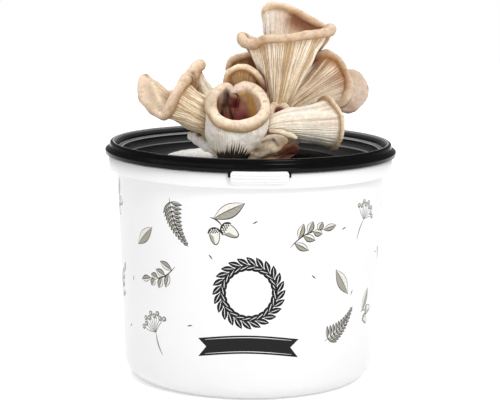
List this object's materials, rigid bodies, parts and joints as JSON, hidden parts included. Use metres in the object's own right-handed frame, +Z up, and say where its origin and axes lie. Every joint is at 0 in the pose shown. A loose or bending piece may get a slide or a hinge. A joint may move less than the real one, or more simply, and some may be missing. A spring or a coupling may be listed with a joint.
{
  "type": "mushroom grow kit",
  "caption": "Round white plastic bucket with a black open-centre snap lid and a cluster of oyster mushrooms growing up out of the opening.",
  "frame": {"origin": "middle of the box's underside, on the bucket's axis at the surface it stands on", "axes": "+Z up along the bucket's axis; -Y is the front, where the seal tab is; +X is the viewer's right"},
  "size_m": [0.2264, 0.2278, 0.2912],
  "materials": {
    "bucket_white": "satin",
    "lid_black": "satin",
    "substrate_white": "matte, fibrous",
    "base_cream": "matte, soft",
    "mushroom_tall_front_flesh": "matte, soft",
    "mushroom_tall_back_flesh": "matte, soft",
    "mushroom_right_fan_flesh": "matte, soft",
    "mushroom_right_rear_flesh": "matte, soft",
    "mushroom_right_low_flesh": "matte, soft",
    "mushroom_front_cup_flesh": "matte, soft",
    "mushroom_left_low_flesh": "matte, soft",
    "mushroom_left_high_flesh": "matte, soft",
    "mushroom_back_small_flesh": "matte, soft",
    "mushroom_back_far_flesh": "matte, soft",
    "bud_middle_flesh": "matte, soft",
    "bud_front_flesh": "matte, soft",
    "bud_brown_flesh": "matte, soft",
    "bud_finger_pale": "matte, soft",
    "bud_left_pale": "matte, soft"
  },
  "bodies": {
    "root": {"bucket": "bucket_white", "lid": "lid_black", "substrate": "substrate_white", "cluster_base": "base_cream", "mushroom_tall_front": "mushroom_tall_front_flesh", "mushroom_tall_back": "mushroom_tall_back_flesh", "mushroom_right_fan": "mushroom_right_fan_flesh", "mushroom_right_rear": "mushroom_right_rear_flesh", "mushroom_right_low": "mushroom_right_low_flesh", "mushroom_front_cup": "mushroom_front_cup_flesh", "mushroom_left_low": "mushroom_left_low_flesh", "mushroom_left_high": "mushroom_left_high_flesh", "mushroom_back_small": "mushroom_back_small_flesh", "mushroom_back_far": "mushroom_back_far_flesh", "bud_middle": "bud_middle_flesh", "bud_front": "bud_front_flesh", "bud_brown": "bud_brown_flesh", "bud_finger": "bud_finger_pale", "bud_left": "bud_left_pale"}
  },
  "joints": []
}
